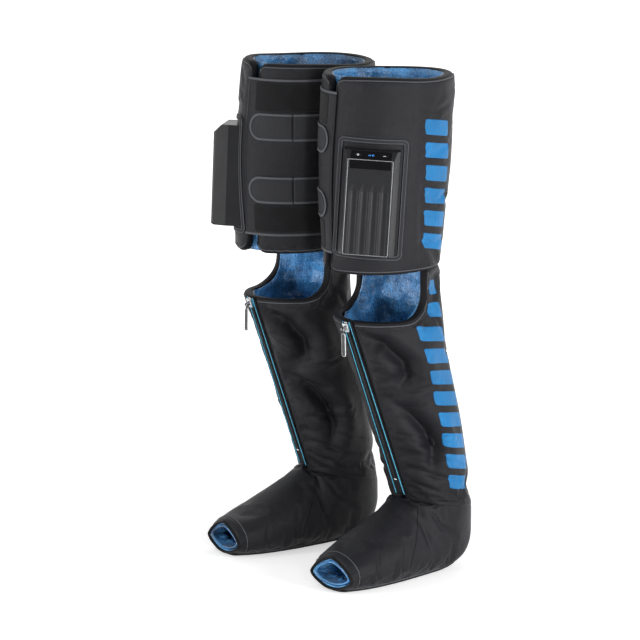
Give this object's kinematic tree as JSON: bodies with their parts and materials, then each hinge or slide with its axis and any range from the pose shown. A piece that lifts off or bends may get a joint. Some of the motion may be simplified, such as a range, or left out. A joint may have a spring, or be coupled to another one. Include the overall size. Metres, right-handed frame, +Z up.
{
  "type": "leg compression boots with cordless pumps",
  "caption": "Pair of padded full-leg compression boots, open at knee and toe, with shin zips, strapped thigh cuffs and cordless button-controlled air pumps.",
  "frame": {"origin": "middle of the pair on the floor", "axes": "+Z up, the toes point to -Y, the left boot stands on +X"},
  "size_m": [0.4686, 0.322, 0.875],
  "materials": {
    "shell_fabric": "satin woven nylon",
    "lining_fabric": "satin embossed nylon",
    "chamber_film": "soft film",
    "sole_rubber": "matte",
    "loop_fabric": "brushed loop",
    "strap_fabric": "satin woven nylon",
    "welt_fabric": "woven binding",
    "tape_fabric": "woven tape",
    "coil_nylon": "moulded nylon",
    "slider_metal": "polished",
    "pull_rubber": "moulded",
    "casing_plastic": "satin moulded",
    "window_plastic": "high gloss",
    "button_plastic": "gloss",
    "board_laminate": "solder mask",
    "cell_wrap": "shrink film",
    "motor_metal": "drawn steel",
    "valve_nylon": "moulded nylon",
    "port_metal": "drawn steel",
    "screw_steel": "blackened steel"
  },
  "bodies": {
    "boots_and_pumps": {"left_air_pump": "motor_metal", "left_battery_pack": "cell_wrap", "left_calf_chamber": "chamber_film", "left_calf_cover": "shell_fabric", "left_calf_lining": "lining_fabric", "left_charge_port": "port_metal", "left_circuit_board": "board_laminate", "left_closure_panel": "loop_fabric", "left_control_window": "window_plastic", "left_foot_chamber": "chamber_film", "left_foot_cover": "shell_fabric", "left_foot_lining": "lining_fabric", "left_housing_screws": "screw_steel", "left_pocket_frame": "welt_fabric", "left_pump_back_shell": "casing_plastic", "left_pump_front_shell": "casing_plastic", "left_sole": "sole_rubber", "left_thigh_chamber": "chamber_film", "left_thigh_cover": "shell_fabric", "left_thigh_lining": "lining_fabric", "left_valve_block": "valve_nylon", "left_zip_tape": "tape_fabric", "left_zip_teeth": "coil_nylon", "right_air_pump": "motor_metal", "right_battery_pack": "cell_wrap", "right_calf_chamber": "chamber_film", "right_calf_cover": "shell_fabric", "right_calf_lining": "lining_fabric", "right_charge_port": "port_metal", "right_circuit_board": "board_laminate", "right_closure_panel": "loop_fabric", "right_control_window": "window_plastic", "right_foot_chamber": "chamber_film", "right_foot_cover": "shell_fabric", "right_foot_lining": "lining_fabric", "right_housing_screws": "screw_steel", "right_pocket_frame": "welt_fabric", "right_pump_back_shell": "casing_plastic", "right_pump_front_shell": "casing_plastic", "right_sole": "sole_rubber", "right_thigh_chamber": "chamber_film", "right_thigh_cover": "shell_fabric", "right_thigh_lining": "lining_fabric", "right_valve_block": "valve_nylon", "right_zip_tape": "tape_fabric", "right_zip_teeth": "coil_nylon"},
    "left_zip_slider": {"left_zip_slider": "slider_metal"},
    "left_zip_pull": {"left_zip_pull": "pull_rubber"},
    "left_strap_upper": {"left_strap_upper": "strap_fabric"},
    "left_strap_lower": {"left_strap_lower": "strap_fabric"},
    "left_button_power": {"left_button_power": "button_plastic"},
    "left_button_mode": {"left_button_mode": "button_plastic"},
    "left_button_level": {"left_button_level": "button_plastic"},
    "right_zip_slider": {"right_zip_slider": "slider_metal"},
    "right_zip_pull": {"right_zip_pull": "pull_rubber"},
    "right_strap_upper": {"right_strap_upper": "strap_fabric"},
    "right_strap_lower": {"right_strap_lower": "strap_fabric"},
    "right_button_power": {"right_button_power": "button_plastic"},
    "right_button_mode": {"right_button_mode": "button_plastic"},
    "right_button_level": {"right_button_level": "button_plastic"}
  },
  "joints": [
    {"name": "left_power_press", "type": "slide", "parent": "boots_and_pumps", "child": "left_button_power", "axis": [-0.5216, 0.4472, -0.7266], "range_m": [0, 0.0012], "stiffness_N_per_m": 500, "springref_m": -0.0003},
    {"name": "left_mode_press", "type": "slide", "parent": "boots_and_pumps", "child": "left_button_mode", "axis": [-0.5216, 0.4472, -0.7266], "range_m": [0, 0.0012], "stiffness_N_per_m": 500, "springref_m": -0.0003},
    {"name": "left_level_press", "type": "slide", "parent": "boots_and_pumps", "child": "left_button_level", "axis": [-0.5216, 0.4472, -0.7266], "range_m": [0, 0.0012], "stiffness_N_per_m": 500, "springref_m": -0.0003},
    {"name": "left_zip_slide", "type": "slide", "parent": "boots_and_pumps", "child": "left_zip_slider", "axis": [0.0076, 0.3529, -0.9356], "range_m": [0, 0.289]},
    {"name": "left_zip_pull_swing", "type": "hinge", "parent": "left_zip_slider", "child": "left_zip_pull", "pos_m": [0.1323, -0.11552, 0.44693], "axis": [-0.9966, -0.0737, -0.0359], "range_deg": [-20, 140]},
    {"name": "left_strap_upper_peel", "type": "hinge", "parent": "boots_and_pumps", "child": "left_strap_upper", "pos_m": [0.03728, -0.08785, 0.766], "axis": [-0.0105, -0.0105, -0.9999], "range_deg": [0, 85]},
    {"name": "left_strap_lower_peel", "type": "hinge", "parent": "boots_and_pumps", "child": "left_strap_lower", "pos_m": [0.0393, -0.08582, 0.657], "axis": [0.0467, 0.0467, -0.9978], "range_deg": [0, 83]},
    {"name": "right_power_press", "type": "slide", "parent": "boots_and_pumps", "child": "right_button_power", "axis": [0.5216, 0.4472, -0.7266], "range_m": [0, 0.0012], "stiffness_N_per_m": 500, "springref_m": -0.0003},
    {"name": "right_mode_press", "type": "slide", "parent": "boots_and_pumps", "child": "right_button_mode", "axis": [0.5216, 0.4472, -0.7266], "range_m": [0, 0.0012], "stiffness_N_per_m": 500, "springref_m": -0.0003},
    {"name": "right_level_press", "type": "slide", "parent": "boots_and_pumps", "child": "right_button_level", "axis": [0.5216, 0.4472, -0.7266], "range_m": [0, 0.0012], "stiffness_N_per_m": 500, "springref_m": -0.0003},
    {"name": "right_zip_slide", "type": "slide", "parent": "boots_and_pumps", "child": "right_zip_slider", "axis": [-0.0076, 0.3529, -0.9356], "range_m": [0, 0.289]},
    {"name": "right_zip_pull_swing", "type": "hinge", "parent": "right_zip_slider", "child": "right_zip_pull", "pos_m": [-0.1323, -0.11552, 0.44693], "axis": [-0.9966, 0.0737, 0.0359], "range_deg": [-20, 140]},
    {"name": "right_strap_upper_peel", "type": "hinge", "parent": "boots_and_pumps", "child": "right_strap_upper", "pos_m": [-0.03728, -0.08785, 0.766], "axis": [-0.0105, 0.0105, 0.9999], "range_deg": [0, 85]},
    {"name": "right_strap_lower_peel", "type": "hinge", "parent": "boots_and_pumps", "child": "right_strap_lower", "pos_m": [-0.0393, -0.08582, 0.657], "axis": [0.0467, -0.0467, 0.9978], "range_deg": [0, 83]}
  ]
}
